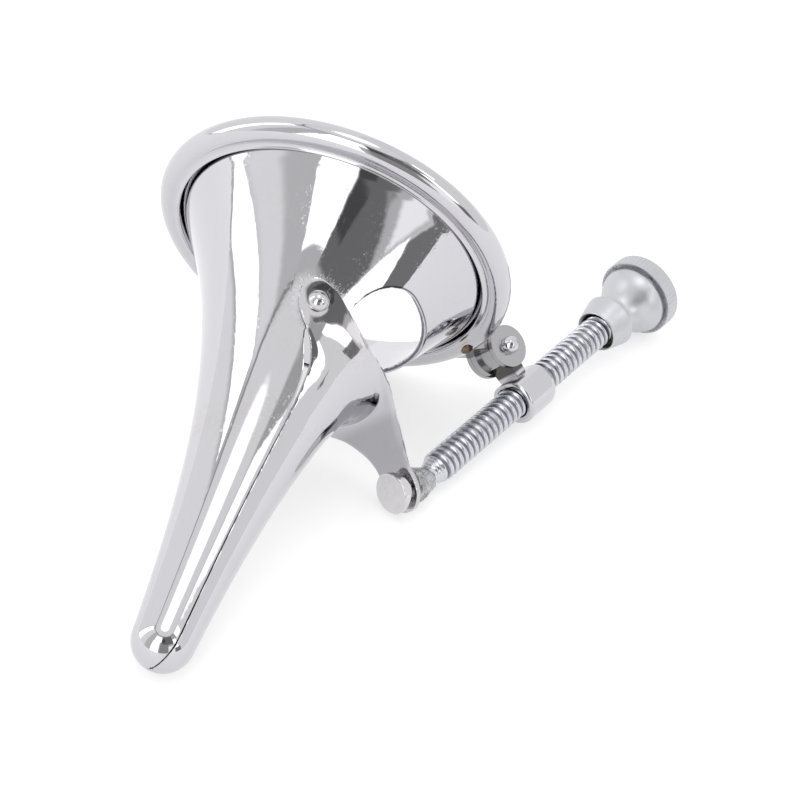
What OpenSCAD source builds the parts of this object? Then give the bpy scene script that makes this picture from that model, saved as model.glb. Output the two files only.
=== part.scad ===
// Two-bladed trumpet speculum, upper blade worked by a thumb nut on a screw.
// Shapes are drawn along the funnel: X from mouth to tip, Y towards the screw,
// Z along the hinge. Each finished part is then turned to lie on a table.

/* [Funnel] */
// Outside diameter over the rolled rim
rim_d = 72; // [60:0.5:90]
// Thickness of the rolled rim
bead_d = 5; // [3:0.1:7]
// Thickness of the sheet metal
sheet = 1; // [0.8:0.05:1.4]
// From the rim centre to the rounded tip
total_length = 99.4; // [85:0.2:120]
// Radius of the rounded tip
nose_radius = 5.95; // [5:0.05:8]
// Radius the flare dies away to
slim_radius = 3.65; // [2.5:0.05:5]
// Extra radius of the flare at the mouth
flare_rise = 28.55; // [22:0.05:34]
// Length over which the flare dies away
flare_length = 37.2; // [30:0.1:45]

/* [Window and seam] */
// Where the bell is cut off behind the rim
window_start = 14; // [11:0.5:18]
// Corner radius of the cut
window_radius = 11; // [8:0.5:12]
// Gap between the two blades
seam_gap = 0.3; // [0.2:0.05:0.6]

/* [Upper valve] */
// Hinge position along the funnel
hinge_along = 26; // [24:0.25:28]
// Hinge position below the seam
hinge_drop = 6.5; // [5.5:0.25:7.5]
// Space between the ears and the neck
ear_gap = 0.66; // [0.5:0.02:0.8]
// Radius of the round eye at the end of the tongue
eye_radius = 4.6; // [4.2:0.1:5.2]
// Thickness of the eye
eye_thick = 1; // [0.8:0.1:1.4]
// Half length of the slot in the eye
slot_half = 2.75; // [2.4:0.05:3]
// Diameter of the hinge rivets
rivet_d = 2.2; // [1.6:0.1:3]
// Diameter of the hinge rivet heads
rivet_head_d = 4.3; // [3.4:0.1:5]

/* [Screw] */
// Outside diameter of the screw thread
rod_d = 6.54; // [5:0.02:8]
// Distance from one thread ridge to the next
pitch = 1.94; // [1.2:0.02:2.5]
// Depth of the thread
thread_depth = 0.62; // [0.3:0.02:0.9]
// Free end of the screw past the sleeve pivot
rod_end = 43.4; // [36:0.2:48]
// From the sleeve pivot back to the bend of the tail
tail_bend = 35.56; // [34:0.02:37]
// From the bend to the middle of the eye
eye_drop = 4.644; // [4:0.02:5.4]
// Diameter of the button on the tail
button_d = 8.24; // [7:0.02:10]
// Thickness of the button
button_thick = 1.2; // [0.8:0.1:2]
// Diameter of the pin through the eye
pin_d = 3; // [2.4:0.1:3.6]

/* [Sleeve and bracket] */
// Outside diameter of the swivelling sleeve
sleeve_d = 9.8; // [9:0.1:11]
// Length of the sleeve
sleeve_length = 9.2; // [8:0.1:12]
// Distance from the bracket pivot to the screw
screw_offset = 10.14; // [9:0.02:12]
// Height of the bracket pivot over the middle of the rolled rim
pivot_rise = 8.2; // [7.4:0.1:10]
// Width of the bracket across its cheeks
bracket_width = 8; // [7:0.1:10]
// Thickness of a bracket cheek
cheek = 1.1; // [0.8:0.1:1.6]
// Radius of the round near cheek
cheek_radius = 4.35; // [3.9:0.05:4.8]
// How much larger the far cheek is
far_cheek_extra = 0.25; // [0:0.05:0.3]
// Wall of the barrel between the cheeks
barrel_wall = 0.85; // [0.6:0.05:1.1]
// Diameter of the pivot rivet
pivot_d = 2.4; // [2:0.1:3]

/* [Thumb nut] */
// Diameter over the knurled flange
flange_d = 15.6; // [12:0.1:20]
// Number of ridges round the flange
ridges = 52; // [40:1:64]
// Distance from sleeve pivot to the small end of the nut
nut_start = 26; // [18:0.5:30]

/* [Fits] */
// Radial play of turning and sliding fits
play = 0.05; // [0.02:0.01:0.1]

/* [Hidden] */
$fn = 64;

// Lie of the finished object on a table
lie_roll = -35.894;
lie_pitch = 17.730;
lie_shift = [-21.030, -13.655, 34.409];

bead_r = bead_d / 2;
bead_centre = rim_d / 2 - bead_r;
hinge_x = hinge_along;
hinge_y = -hinge_drop;
pivot_x = -3.6;
pivot_height = bead_centre + pivot_rise;
barrel_r = cheek_radius - 0.6;
slot_r = barrel_r - barrel_wall;
screw_lean = 24.2;
screw_dir = [-cos(screw_lean), sin(screw_lean), 0];
screw_foot = [pivot_x + screw_offset * sin(screw_lean),
    pivot_height + screw_offset * cos(screw_lean), 0];

// The tail's pin leans more than the screw; the eye sits on it past the bend
pin_lean = 39;
pin_dir = [-cos(pin_lean), sin(pin_lean), 0];
eye = screw_foot - tail_bend * screw_dir - eye_drop * pin_dir;
eye_turn = 48.5;
nose_centre = total_length - nose_radius;

// Funnel radius and its slope
function funnel(s) = slim_radius + flare_rise * exp(-s / flare_length);
function slope(s) = -flare_rise / flare_length * exp(-s / flare_length);
function norm_len(s) = sqrt(1 + slope(s) * slope(s));
function inner_pt(s) = [funnel(s) - sheet / norm_len(s),
    s + sheet * slope(s) / norm_len(s)];
function ring_pt(r, t) = [bead_centre + r * cos(t), r * sin(t)];

module laid() {
    translate(lie_shift) rotate([lie_roll, lie_pitch, 0]) children();
}

// Turn a shape drawn along Z to run along the funnel
module along_funnel() {
    rotate([0, 90, 0]) children();
}

// Put a shape drawn along Z on the screw axis, measured from the sleeve pivot
module on_screw(x) {
    translate(screw_foot + x * screw_dir)
        rotate([0, -90, 0]) rotate([-screw_lean, 0, 0]) children();
}

// funnel wall with its rolled rim
wall_stops = [for (s = [3:1:12]) s, for (s = [14:2:30]) s,
    for (s = [33:3:48]) s, for (s = [53:5:88]) s];
wall_last = nose_centre - nose_radius * slope(nose_centre);
curl_start = 210.4;
curl_end = 508;

module funnel_section() {
    polygon(concat(
        [for (t = [0:15:90]) [(nose_radius) * sin(t), nose_centre + nose_radius * cos(t)]],
        [for (i = [len(wall_stops) - 1:-1:0]) [funnel(wall_stops[i]), wall_stops[i]]],
        [for (i = [0:24]) ring_pt(bead_r - sheet, curl_start + (curl_end - curl_start) * i / 24)],
        [for (i = [24:-1:0]) ring_pt(bead_r, curl_start + (curl_end - curl_start) * i / 24)],
        [for (s = wall_stops) inner_pt(s)],
        [for (t = [90:-15:0]) [(nose_radius - sheet) * sin(t),
            nose_centre + (nose_radius - sheet) * cos(t)]]));
}

module opening_cut() {
    cut_corner = window_start + window_radius;
    g = seam_gap / 2;
    linear_extrude(100, center = true)
        polygon(concat(
            [[window_start, 50]],
            [for (t = [180:7.5:270]) [cut_corner + window_radius * cos(t),
                window_radius + window_radius * sin(t)]],
            [for (d = [[-0.9, 1], [0, 2.2], [1.2, 3.9], [3, 5.2], [5, 5.3], [7, 4.4], [9, 3.2], [11, 2.1],
                [13, 1.4], [15, 0.95], [17, 0.6], [20, 0.3], [24, g]])
                [hinge_along + d[0], -d[1]]],
            [[total_length + 2, -g], [total_length + 2, 50]]));
}

module fixed_valve() {
    laid() color([0.82, 0.83, 0.85]) difference() {
        along_funnel() rotate_extrude() funnel_section();
        opening_cut();
        translate([hinge_x, hinge_y, 0])
            cylinder(h = 60, r = rivet_d / 2 + play, center = true);
    }
}

// saddle-shaped upper valve: rows run from the tip, over the neck, up the tongue
// each row: middle along, middle radius, edge along, edge radius, half angle
ear_off = sheet + ear_gap;
function over(s, g) = funnel(s) + g;
function flat_angle(r) = acos(min(0.9, seam_gap / 2 / r));
function blade_row(s) = [s, funnel(s), s, funnel(s), flat_angle(funnel(s))];
function ear_row(s, g, d, e, a) = [s, over(s, g), hinge_along + d,
    over(hinge_along + d, e), a];
// tongue: share of the way from its root to the eye, and how far it bows from that line
root = [29.7, over(29.7, 3.3)];
function tongue(t, bow) = [root[0] + t * (eye[0] - root[0]) + bow,
    root[1] + t * (eye[1] - 0.25 - root[1])];
function tongue_row(t, bow, u, edge_bow, a) = concat(tongue(t, bow), tongue(u, edge_bow), [a]);
rows = [
    blade_row(wall_last),
    blade_row(80),
    blade_row(66),
    blade_row(54),
    [46, over(46, 0), 46, over(46, 0.1), 89.7],
    [41.5, over(41.5, 0), 40, over(40, 0.7), 92.6],
    ear_row(38.5, 0.11, 9.5, 1.25, 97.5),
    ear_row(36.0, 0.2, 5.5, ear_off, 108),
    ear_row(34.0, 0.5, 1.6, ear_off, 119.5),
    ear_row(32.6, 0.865, -1.6, ear_off, 121),
    ear_row(31.5, 1.41, -3.6, ear_off + 0.1, 115),
    ear_row(30.6, 2.01, -3.0, ear_off + 0.35, 105),
    ear_row(30.0, 2.7, -0.8, ear_off + 0.5, 92),
    ear_row(root[0], 3.3, 1.0, 2.13, 77),
    tongue_row(0.067, -0.56, -0.007, -1.65, 62),
    tongue_row(0.164, -1.03, 0.052, -1.36, 47.3),
    tongue_row(0.291, -1.41, 0.164, -1.53, 34),
    tongue_row(0.44, -1.64, 0.306, -1.91, 21.5),
    tongue_row(0.575, -1.37, 0.522, -1.9, 13.5),
    tongue_row(0.716, -0.94, 0.687, -1.24, 9.4),
    tongue_row(0.858, -0.22, 0.843, -0.42, 7.9),
    tongue_row(1, 0.46, 1, 0.4, 7.4)];
last_row = len(rows) - 1;
function row_at(i) = rows[max(0, min(last_row, i))];
function blend(a, b, c, d, x) = 0.5 * (2 * b + (c - a) * x
    + (2 * a - 5 * b + 4 * c - d) * x * x + (3 * b - a - 3 * c + d) * x * x * x);
function row(v) = let (i = min(last_row - 1, floor(v)))
    blend(row_at(i - 1), row_at(i), row_at(i + 1), row_at(i + 2), v - i);
function valve_pt(v, j) = v < 0 ? nose_pt(v, j) : let (q = row(v), w = abs(j),
        s = q[0] + (q[2] - q[0]) * pow(w, 3.4),
        middle = q[1] - funnel(q[0]), edge = q[3] - funnel(q[2]),
        r = funnel(s) + middle + (edge - middle) * w * w * (1.8 - 0.8 * w * w))
    [s, r * cos(q[4] * j), r * sin(q[4] * j)];
// negative v runs round the rounded tip
function nose_pt(v, j) = let (b = asin(-slope(nose_centre)) * (1 + v) - 86 * v,
        r = nose_radius * cos(b))
    [nose_centre + nose_radius * sin(b), r * cos(flat_angle(r) * j), r * sin(flat_angle(r) * j)];
function valve_normal(v, j) = let (e = 0.01,
        a = valve_pt(max(-1, v - e), j), b = valve_pt(min(last_row, v + e), j),
        c = valve_pt(v, max(-1, j - e)), d = valve_pt(v, min(1, j + e)),
        n = cross(b - a, d - c))
    n / norm(n);

module valve_sheet(thick) {
    vs = [for (v = [-1:0.2:-0.2]) v, 0, 1, 2, 3, 3.5, for (v = [4:0.4:7.9]) v,
        for (v = [8:0.35:20]) v];
    cols = 24;
    nv = len(vs);
    nc = cols + 1;
    outside = [for (v = vs) for (k = [0:cols]) valve_pt(v, 2 * k / cols - 1)];
    inside = [for (v = vs) for (k = [0:cols])
        valve_pt(v, 2 * k / cols - 1) - thick * valve_normal(v, 2 * k / cols - 1)];
    m = nv * nc;
    top = [for (i = [0:nv - 2]) for (k = [0:cols - 1]) let (p = i * nc + k)
        each [[p, p + nc + 1, p + nc], [p, p + 1, p + nc + 1]]];
    under = [for (i = [0:nv - 2]) for (k = [0:cols - 1]) let (p = m + i * nc + k)
        each [[p, p + nc, p + nc + 1], [p, p + nc + 1, p + 1]]];
    sides = [for (i = [0:nv - 2]) let (p = i * nc, q = i * nc + cols)
        each [[p, m + p + nc, m + p], [p, p + nc, m + p + nc],
              [q, m + q + nc, q + nc], [q, m + q, m + q + nc]]];
    e = (nv - 1) * nc;
    ends = [for (k = [0:cols - 1])
        each [[k, m + k + 1, k + 1], [k, m + k, m + k + 1],
              [e + k, m + e + k + 1, m + e + k], [e + k, e + k + 1, m + e + k + 1]]];
    polyhedron(points = concat(outside, inside), faces = concat(top, under, sides, ends));
}

// eye frame: Z points out of the tip side of the eye, X along the tongue
module at_eye() {
    translate(eye) rotate([0, 0, eye_turn]) rotate([90, 0, 0]) children();
}

// rivet frame on one ear: Z leaves the ear squarely
ear_lift = funnel(hinge_along) + ear_off;
ear_rise = sqrt(ear_lift * ear_lift - hinge_drop * hinge_drop);
ear_roll = asin(hinge_drop / ear_lift);
ear_tip = atan(-slope(hinge_along));
module at_ear(side) {
    translate([hinge_x, hinge_y, side * ear_rise])
        mirror([0, 0, side > 0 ? 0 : 1])
        rotate([ear_roll, 0, 0]) rotate([0, ear_tip, 0]) children();
}

module movable_valve() {
    laid() color([0.88, 0.89, 0.9]) difference() {
        union() {
            valve_sheet(sheet);
            at_eye() cylinder(h = eye_thick, r = eye_radius, center = true);
        }
        at_eye() for (x = [-1, 1])
            translate([x * (slot_half - pin_d / 2 - 0.1), 0, 0])
                cylinder(h = 8, r = pin_d / 2 + 0.1, center = true);
        at_eye() cube([2 * slot_half - pin_d - 0.2, pin_d + 0.2, 8], center = true);
        for (side = [-1, 1]) {
            translate([hinge_x, hinge_y, side * 18])
                cylinder(h = 9, d = rivet_d, center = true);
            at_ear(side) translate([0, 0, 9.6]) sphere(r = 10);
        }
    }
}

// hinge rivets, tight in the ears, turning in the neck wall, filed flush inside
module hinge_rivet(side) {
    wall_r = funnel(hinge_along) - sheet * norm_len(hinge_along);
    inner_rise = sqrt(wall_r * wall_r - hinge_drop * hinge_drop);
    difference() {
        union() {
            translate([hinge_x, hinge_y, side * (inner_rise + ear_rise) / 2])
                cylinder(h = ear_rise - inner_rise + 1.6, d = rivet_d, center = true);
            intersection() {
                at_ear(side) translate([0, 0, -0.75]) sphere(d = rivet_head_d);
                at_ear(side) translate([0, 0, 9.62]) sphere(r = 10);
            }
        }
        translate([hinge_x, hinge_y, side * inner_rise])
            mirror([0, 0, side > 0 ? 0 : 1])
            rotate([ear_roll, 0, 0]) rotate([0, ear_tip, 0])
            translate([0, 0, -2]) cube([8, 8, 4], center = true);
    }
}

module hinge_rivet_near() {
    laid() color([0.8, 0.8, 0.81]) hinge_rivet(1);
}

module hinge_rivet_far() {
    laid() color([0.8, 0.8, 0.81]) hinge_rivet(-1);
}

// forked bracket soldered to the rim
module bead_ring(r) {
    along_funnel() rotate_extrude() translate([bead_centre, 0]) circle(r = r);
}

// foot of the bracket, sunk to the shape of the bead
module bracket_foot() {
    polygon([[-0.9, pivot_height - 3], [1.3, bead_centre + 2.1], [0.6, bead_centre + 0.3],
        [-2.2, bead_centre + 0.3], [-2.5, bead_centre + 1.1], [-6.2, pivot_height - 3.2]]);
}

module at_pivot(h) {
    translate([pivot_x, pivot_height, h]) children();
}

// thick far cheek, barrel with the slot for the sleeve, thin near cheek
module bracket_body() {
    half = bracket_width / 2;
    far_thick = 2.3 * cheek;
    difference() {
        union() {
            at_pivot(-half) cylinder(h = far_thick, r = cheek_radius + far_cheek_extra);
            at_pivot(-half + 0.1) cylinder(h = bracket_width - 0.2, r = barrel_r);
            at_pivot(half - cheek) cylinder(h = cheek, r = cheek_radius);
            translate([0, 0, -half]) linear_extrude(bracket_width - cheek) bracket_foot();
        }
        linear_extrude(bracket_width - 2 * cheek, center = true)
            translate([pivot_x, pivot_height]) {
                circle(r = slot_r);
                polygon([for (t = [[12, slot_r], [56, 14], [120, 14], [168, slot_r]])
                    [t[1] * cos(t[0]), t[1] * sin(t[0])]]);
            }
    }
}

module rim_bracket() {
    laid() color([0.74, 0.75, 0.76]) difference() {
        bracket_body();
        bead_ring(bead_r);
        at_pivot(0) cylinder(h = 20, d = pivot_d, center = true);
    }
}

module bracket_braze() {
    laid() color([0.55, 0.44, 0.3]) difference() {
        along_funnel() rotate([0, 0, 82]) rotate_extrude(angle = 16, $fn = 360)
            polygon(concat(
                [for (t = [-55:10:55]) ring_pt(bead_r + 0.02, t)],
                [for (t = [48:-12:-48]) ring_pt(bead_r + 0.45, t)]));
        linear_extrude(bracket_width + 4, center = true) bracket_foot();
    }
}

// domed rivet through the cheeks
module bracket_rivet() {
    dome = 1.65;
    laid() color([0.76, 0.76, 0.77]) at_pivot(0) {
        cylinder(h = bracket_width + 0.2, d = pivot_d, center = true);
        for (side = [-1, 1])
            intersection() {
                translate([0, 0, side * (bracket_width / 2 + 0.4)]) sphere(r = dome);
                translate([0, 0, side * (bracket_width / 2 + 2)])
                    cube([6, 6, 4], center = true);
            }
    }
}

// sleeve that swivels between the cheeks and guides the screw
module swivel_sleeve() {
    lug_r = slot_r - 0.25;
    lug_w = bracket_width - 2 * cheek - 4 * play;
    laid() color([0.78, 0.79, 0.8]) difference() {
        union() {
            on_screw(0.6) cylinder(h = sleeve_length - 1.2, d = sleeve_d, center = true);
            on_screw(0.6) cylinder(h = sleeve_length, d = sleeve_d - 1.1, center = true);
            at_pivot(0)
                rotate([0, 0, -screw_lean]) {
                    cylinder(h = lug_w, r = lug_r, center = true);
                    translate([0, screw_offset / 2, 0])
                        cube([lug_r + 0.2, screw_offset, lug_w], center = true);
                }
        }
        on_screw(0.6) cylinder(h = 20, r = rod_d / 2 + play, center = true);
        at_pivot(0) cylinder(h = 20, r = pivot_d / 2 + play, center = true);
    }
}

// screw, its brazed foot and the button behind the eye
thread_first = -28;
neck_end = 0.96 - tail_bend;
ridge_count = floor((rod_end - 0.8 - thread_first) / pitch);

module threaded_rod() {
    r = rod_d / 2;
    laid() color([0.6, 0.6, 0.6]) on_screw(0) rotate_extrude() polygon(concat(
        [[0, neck_end], [1.95, neck_end], [2, -31], [2.5, -30.6], [2.95, -29.8], [3.1, -28.9],
         [r - thread_depth, thread_first]],
        [for (i = [0:ridge_count - 1]) let (x = thread_first + i * pitch)
            each [[r - thread_depth, x + pitch * 0.16], [r - 0.12, x + pitch * 0.38],
                [r, x + pitch * 0.52], [r - 0.12, x + pitch * 0.66],
                [r - thread_depth, x + pitch * 0.88]]],
        [[r - thread_depth, rod_end - 0.6], [r - 0.9, rod_end], [0, rod_end]]));
}

// pin frame: Z runs from the button through the eye towards the screw
module on_pin(x) {
    translate(eye + x * pin_dir)
        rotate([0, -90, 0]) rotate([-pin_lean, 0, 0]) children();
}

module rod_foot() {
    laid() color([0.5, 0.5, 0.5]) difference() {
        on_pin(1.8) rotate_extrude()
            polygon([[0, 0], [2.6, 0], [3.1, 0.5], [3.15, 1], [2.7, 1.8],
                [2.3, 2.6], [2.1, 3.4], [2.1, 7], [0, 7]]);
        on_pin(1.8) cylinder(h = 4, d = pin_d, center = true);
        on_screw(neck_end + 5) cube([12, 12, 10], center = true);
    }
}

module tail_button() {
    r = button_d / 2;
    laid() color([0.85, 0.86, 0.87]) {
        on_pin(-3.15) rotate_extrude()
            polygon([[0, 0], [r - 0.3, 0], [r - 0.08, 0.1], [r, 0.32],
                [r, button_thick - 0.3], [r - 0.3, button_thick],
                [pin_d / 2, button_thick], [pin_d / 2, 6.95], [0, 6.95]]);
    }
}

// thumb nut
module thumb_nut() {
    bore = rod_d / 2 + play;
    r = flange_d / 2;
    laid() color([0.72, 0.72, 0.7]) on_screw(nut_start) difference() {
        union() {
            rotate_extrude() polygon([[0, 0], [4.3, 0], [4.5, 0.25], [5.6, 4.6], [5.7, 5],
                [5.4, 5.25], [4.1, 5.3], [3.95, 6], [4, 7.4], [4.25, 8.1], [5.3, 10],
                [6.6, 12], [7.25, 13.8], [7.3, 14.3], [6.7, 14.55], [6.7, 15],
                [7.2, 15.05], [7.2, 18.2], [6.8, 18.5], [0, 18.5]]);
            translate([0, 0, 15.2]) linear_extrude(3)
                polygon([for (i = [0:2 * ridges - 1]) let (t = 180 * i / ridges,
                    q = i % 2 == 0 ? r : r - 0.5) [q * cos(t), q * sin(t)]]);
        }
        translate([0, 0, -1]) cylinder(h = 21, r = bore);
        translate([0, 0, -0.01]) cylinder(h = 0.9, r1 = bore + 0.85, r2 = bore);
    }
}

fixed_valve();
movable_valve();
hinge_rivet_near();
hinge_rivet_far();
rim_bracket();
bracket_braze();
bracket_rivet();
swivel_sleeve();
threaded_rod();
rod_foot();
tail_button();
thumb_nut();
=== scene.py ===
import bpy
import bmesh
import numpy as np
from math import sin, cos, acos, asin, atan, atan2, sqrt, pi, radians, degrees, floor, hypot
from mathutils import Matrix, Vector, noise


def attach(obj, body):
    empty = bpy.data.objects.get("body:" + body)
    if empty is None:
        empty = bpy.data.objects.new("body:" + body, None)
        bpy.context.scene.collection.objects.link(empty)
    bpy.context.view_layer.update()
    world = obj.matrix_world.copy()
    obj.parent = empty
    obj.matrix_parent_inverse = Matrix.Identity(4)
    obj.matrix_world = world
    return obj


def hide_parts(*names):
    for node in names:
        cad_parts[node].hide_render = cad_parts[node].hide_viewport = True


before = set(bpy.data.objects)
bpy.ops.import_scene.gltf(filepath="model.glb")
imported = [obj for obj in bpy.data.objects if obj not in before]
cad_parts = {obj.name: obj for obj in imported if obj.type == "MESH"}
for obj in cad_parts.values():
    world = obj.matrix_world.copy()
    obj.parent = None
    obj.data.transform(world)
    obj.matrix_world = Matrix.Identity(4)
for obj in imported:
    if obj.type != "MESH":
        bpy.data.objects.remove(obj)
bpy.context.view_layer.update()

# Everything is worked out in millimetres (along the funnel, towards the screw, along the hinge),
# then laid on the table with this one turn, shift and change to metres
layDown = (Matrix.Translation(Vector((-21.030, -13.655, 34.409)) / 1000)
           @ Matrix.Rotation(radians(17.730), 4, "Y") @ Matrix.Rotation(radians(-35.894), 4, "X")
           @ Matrix.Scale(0.001, 4))

funnel = dict(rimRadius=36.0, beadRadius=2.5, sheet=1.0, length=99.4, noseRadius=5.95,
              slim=3.65, rise=28.55, fade=37.2, windowStart=14.0, windowCorner=11.0, halfGap=0.15)
hinge = dict(along=26.0, drop=6.5, headRadius=2.15, earGap=0.66)
screw = dict(pivot=(-3.6, 41.7), lean=24.2, offset=10.14, pinLean=39, tailBend=35.56, eyeDrop=4.644)

beadCentre = funnel["rimRadius"] - funnel["beadRadius"]
noseCentre = funnel["length"] - funnel["noseRadius"]
earOffset = funnel["sheet"] + hinge["earGap"]
alongHinge = Vector((0, 0, 1))
pivot = Vector((*screw["pivot"], 0))
lean, pinLean = radians(screw["lean"]), radians(screw["pinLean"])
screwDir = Vector((-cos(lean), sin(lean), 0))
toPivot = Vector((-sin(lean), -cos(lean), 0))
screwFoot = pivot - toPivot * screw["offset"]
pinDir = Vector((-cos(pinLean), sin(pinLean), 0))
eye = screwFoot - screwDir * screw["tailBend"] - pinDir * screw["eyeDrop"]


def radiusAt(s):
    return funnel["slim"] + funnel["rise"] * np.exp(-np.asarray(s, float) / funnel["fade"])


def slopeAt(s):
    return -funnel["rise"] / funnel["fade"] * np.exp(-np.asarray(s, float) / funnel["fade"])


def standAt(origin, axis):  # matrix whose Z runs along axis from origin
    z = Vector(axis).normalized()
    x = alongHinge if abs(z.z) < 0.9 else Vector((1, 0, 0))
    x = (x - z * x.dot(z)).normalized()
    return Matrix.Translation(Vector(origin)) @ Matrix((x, z.cross(x), z)).transposed().to_4x4()


screwFrame = standAt(screwFoot, screwDir)

print("shared node helpers")


def plug(tree, value, socket):
    if isinstance(value, bpy.types.NodeSocket):
        tree.links.new(value, socket)
    elif value is not None:
        socket.default_value = value


def maths(tree, kind, a, b=None, c=None, clamp=False):
    node = tree.nodes.new("ShaderNodeMath")
    node.operation, node.use_clamp = kind, clamp
    for k, value in enumerate((a, b, c)):
        plug(tree, value, node.inputs[k])
    return node.outputs[0]


def times(tree, a, b):
    return maths(tree, "MULTIPLY", a, b)


def minus(tree, a, b):
    return maths(tree, "SUBTRACT", a, b)


def timesPlus(tree, a, b, c):
    return maths(tree, "MULTIPLY_ADD", a, b, c)


def eased(tree, value, low, high, toLow=0.0, toHigh=1.0):
    node = tree.nodes.new("ShaderNodeMapRange")
    node.interpolation_type = "SMOOTHSTEP"
    for label, item in (("Value", value), ("From Min", low), ("From Max", high),
                        ("To Min", toLow), ("To Max", toHigh)):
        plug(tree, item, node.inputs[label])
    return node.outputs["Result"]


def band(tree, value, risesFrom, risesTo, fallsFrom, fallsTo):
    return times(tree, eased(tree, value, risesFrom, risesTo), eased(tree, value, fallsFrom, fallsTo))


def groupTree(name, kind, inputs, outputs):  # inputs give a default number, or the type of the socket
    tree = bpy.data.node_groups.new(name, kind + "NodeTree")
    for label, value in inputs.items():
        socketType = value if isinstance(value, str) else "Int" if isinstance(value, int) else "Float"
        made = tree.interface.new_socket(label, in_out="INPUT", socket_type="NodeSocket" + socketType)
        if value != socketType:
            made.default_value = value
    for label, socketType in outputs.items():
        tree.interface.new_socket(label, in_out="OUTPUT", socket_type="NodeSocket" + socketType)
    return tree, tree.nodes.new("NodeGroupInput").outputs, tree.nodes.new("NodeGroupOutput").inputs


def formNode(tree, kind, values, **settings):
    node = tree.nodes.new(kind)
    for key, value in settings.items():
        setattr(node, key, value)
    for key, value in values.items():
        plug(tree, value, node.inputs[key])
    return node


def splitPlace(tree, place):
    return formNode(tree, "ShaderNodeSeparateXYZ", {0: place}).outputs


def texNoise(tree, place, scale, detail):
    return formNode(tree, "ShaderNodeTexNoise",
                    {"Vector": place, "Scale": scale, "Detail": detail}).outputs["Fac"]


def vectors(tree, kind, a, b=None):
    node = formNode(tree, "ShaderNodeVectorMath", {0: a, 1: b}, operation=kind)
    return node.outputs["Value" if kind == "LENGTH" else "Vector"]


def finishTree(tree, geometry, material, out):
    real = formNode(tree, "GeometryNodeRealizeInstances", {"Geometry": geometry})
    painted = formNode(tree, "GeometryNodeSetMaterial", {"Geometry": real.outputs[0], "Material": material})
    tree.links.new(painted.outputs[0], out)


def settingsFor(settings, labels):  # "Run In" is read from runIn
    return {label: settings[label[0].lower() + label[1:].replace(" ", "")] for label in labels}


def runTree(obj, tree, values):
    step = obj.modifiers.new(tree.name, "NODES")
    step.node_group = tree
    for item in tree.interface.items_tree:
        if item.item_type == "SOCKET" and item.in_out == "INPUT" and item.name in values:
            step[item.identifier] = values[item.name]
    return bakeModifiers(obj)


print("shared mesh helpers")


def rawObject(name, points, faces):
    mesh = bpy.data.meshes.new(name)
    mesh.from_pydata([tuple(p) for p in points], [], [list(f) for f in faces])
    mesh.validate()
    obj = bpy.data.objects.new(name, mesh)
    bpy.context.scene.collection.objects.link(obj)
    return obj


def evenNormals(obj):  # flat faces stay flat beside their rounded edges
    step = obj.modifiers.new("normals", "WEIGHTED_NORMAL")
    step.weight = 100
    return bakeModifiers(obj)


def outwardPart(part):
    obj = outward(rawObject("turned", *part))
    out = [v.co.copy() for v in obj.data.vertices], [list(f.vertices) for f in obj.data.polygons]
    bpy.data.meshes.remove(obj.data)
    return out


def bakeModifiers(obj):
    graph = bpy.context.evaluated_depsgraph_get()
    graph.update()
    baked = bpy.data.meshes.new_from_object(obj.evaluated_get(graph))
    obj.modifiers.clear()
    obj.data = baked
    return obj


def addPart(obj, part):
    extra = bpy.data.meshes.new("extra")
    extra.from_pydata([tuple(p) for p in part[0]], [], [list(f) for f in part[1]])
    bm = bmesh.new()
    bm.from_mesh(obj.data)
    bm.from_mesh(extra)
    bm.to_mesh(obj.data)
    bm.free()
    bpy.data.meshes.remove(extra)


def outward(obj, weld=0.0):
    bm = bmesh.new()
    bm.from_mesh(obj.data)
    if weld:
        bmesh.ops.remove_doubles(bm, verts=bm.verts, dist=weld)
    bmesh.ops.recalc_face_normals(bm, faces=bm.faces)
    bm.to_mesh(obj.data)
    bm.free()
    return obj


def finished(obj, bodyName, nodes, material, place=None, flats=False):
    obj.data.polygons.foreach_set("use_smooth", [True] * len(obj.data.polygons))
    mesh = evenNormals(obj).data if flats else obj.data
    mesh.transform(layDown @ place if place else layDown)
    mesh.materials.clear()
    mesh.materials.append(material)
    mesh.name = obj.name
    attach(obj, bodyName)
    if nodes:
        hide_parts(*nodes)
    return obj


def gridFaces(rows, cols, closed=False, start=0):
    faces = []
    for i in range(rows - 1):
        for k in range(cols if closed else cols - 1):
            n = (k + 1) % cols
            faces.append((start + i * cols + k, start + (i + 1) * cols + k,
                          start + (i + 1) * cols + n, start + i * cols + n))
    return faces


def gather(*parts):
    points, faces = [], []
    for p, f in parts:
        faces += [[len(points) + k for k in face] for face in f]
        points += list(p)
    return points, faces


def rounded(profile, size=0.25, steps=4):
    out = [profile[0]]
    for i in range(1, len(profile) - 1):
        a, b, c = (np.array(profile[j], float) for j in (i - 1, i, i + 1))
        la, lc = np.linalg.norm(a - b), np.linalg.norm(c - b)
        if min(la, lc) < 1e-6 or np.dot(a - b, c - b) / la / lc < -0.97:
            out.append(tuple(b))
            continue
        d = min(size, la * 0.45, lc * 0.45)
        p, q = b + (a - b) / la * d, b + (c - b) / lc * d
        for k in range(steps + 1):
            t = k / steps
            out.append(tuple((1 - t) ** 2 * p + 2 * t * (1 - t) * b + t * t * q))
    out.append(profile[-1])
    return out


def lathe(profile, place, around=96):  # profile of (radius, height) turned about Z of place
    points = []
    for r, z in profile:
        for k in range(around):
            t = 2 * pi * k / around
            q = max(r, 1e-4)
            points.append(place @ Vector((q * cos(t), q * sin(t), z)))
    n = len(profile)
    faces = gridFaces(n, around, closed=True)
    if profile[0] == profile[-1]:
        faces = [[v % ((n - 1) * around) for v in face] for face in faces]
        return points[:(n - 1) * around], faces
    faces.append(list(range(around)))
    faces.append([(n - 1) * around + k for k in range(around)][::-1])
    return points, faces


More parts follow.
